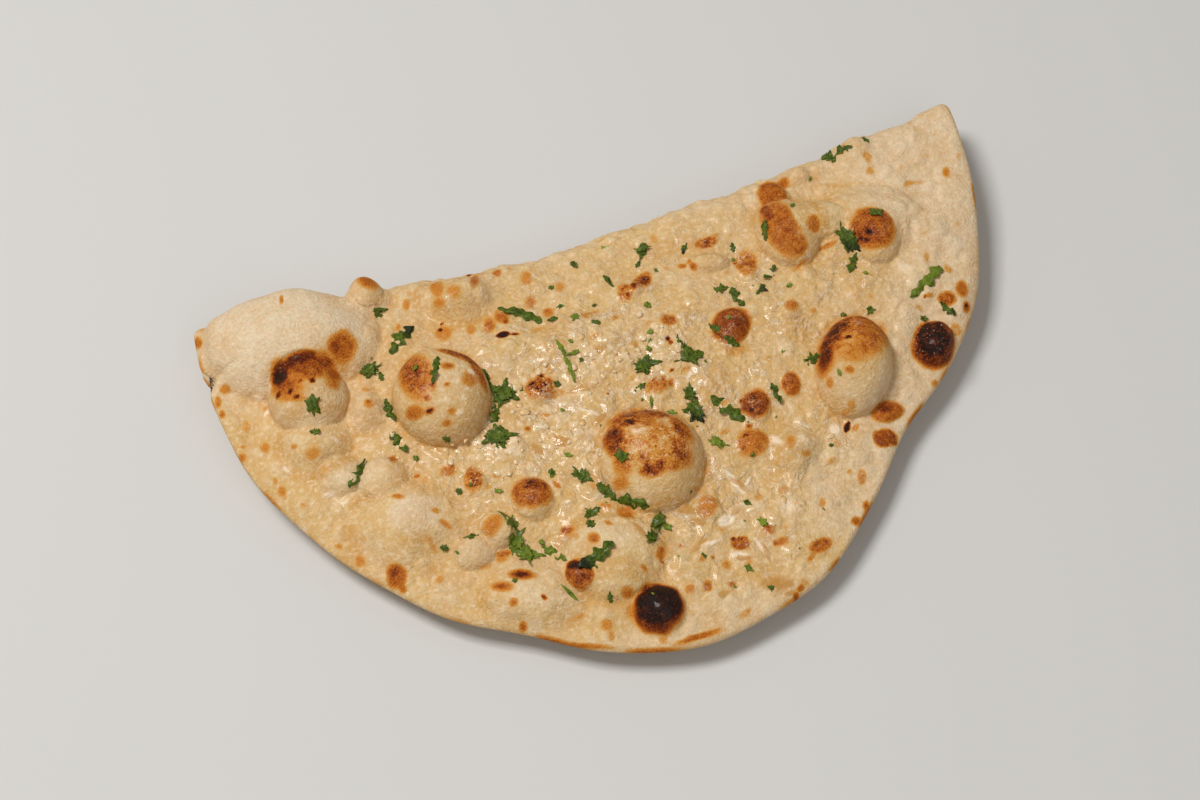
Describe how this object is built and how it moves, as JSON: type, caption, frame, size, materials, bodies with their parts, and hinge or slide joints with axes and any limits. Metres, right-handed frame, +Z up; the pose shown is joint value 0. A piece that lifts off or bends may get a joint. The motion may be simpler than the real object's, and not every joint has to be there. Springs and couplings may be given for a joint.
{
  "type": "garlic naan",
  "caption": "Leavened flatbread, blistered and browned, folded in two into a half moon, topped with minced garlic, chopped coriander and melted butter.",
  "frame": {"origin": "middle of the bread's box, on the surface it lies on", "axes": "+X along the fold towards the fold's right corner, +Y from the open rim back towards the fold, +Z up, out of the garlic side"},
  "size_m": [0.241, 0.1438, 0.0333],
  "materials": {
    "bread": "matte baked crust, cream to golden, with brown and charred blister tops",
    "coriander": "dark green chopped leaf, slightly moist",
    "garlic": "pale cream, moist and slightly see-through",
    "butter": "thin clear golden film of melted butter"
  },
  "bodies": {
    "root": {"naan": "bread"}
  },
  "joints": []
}
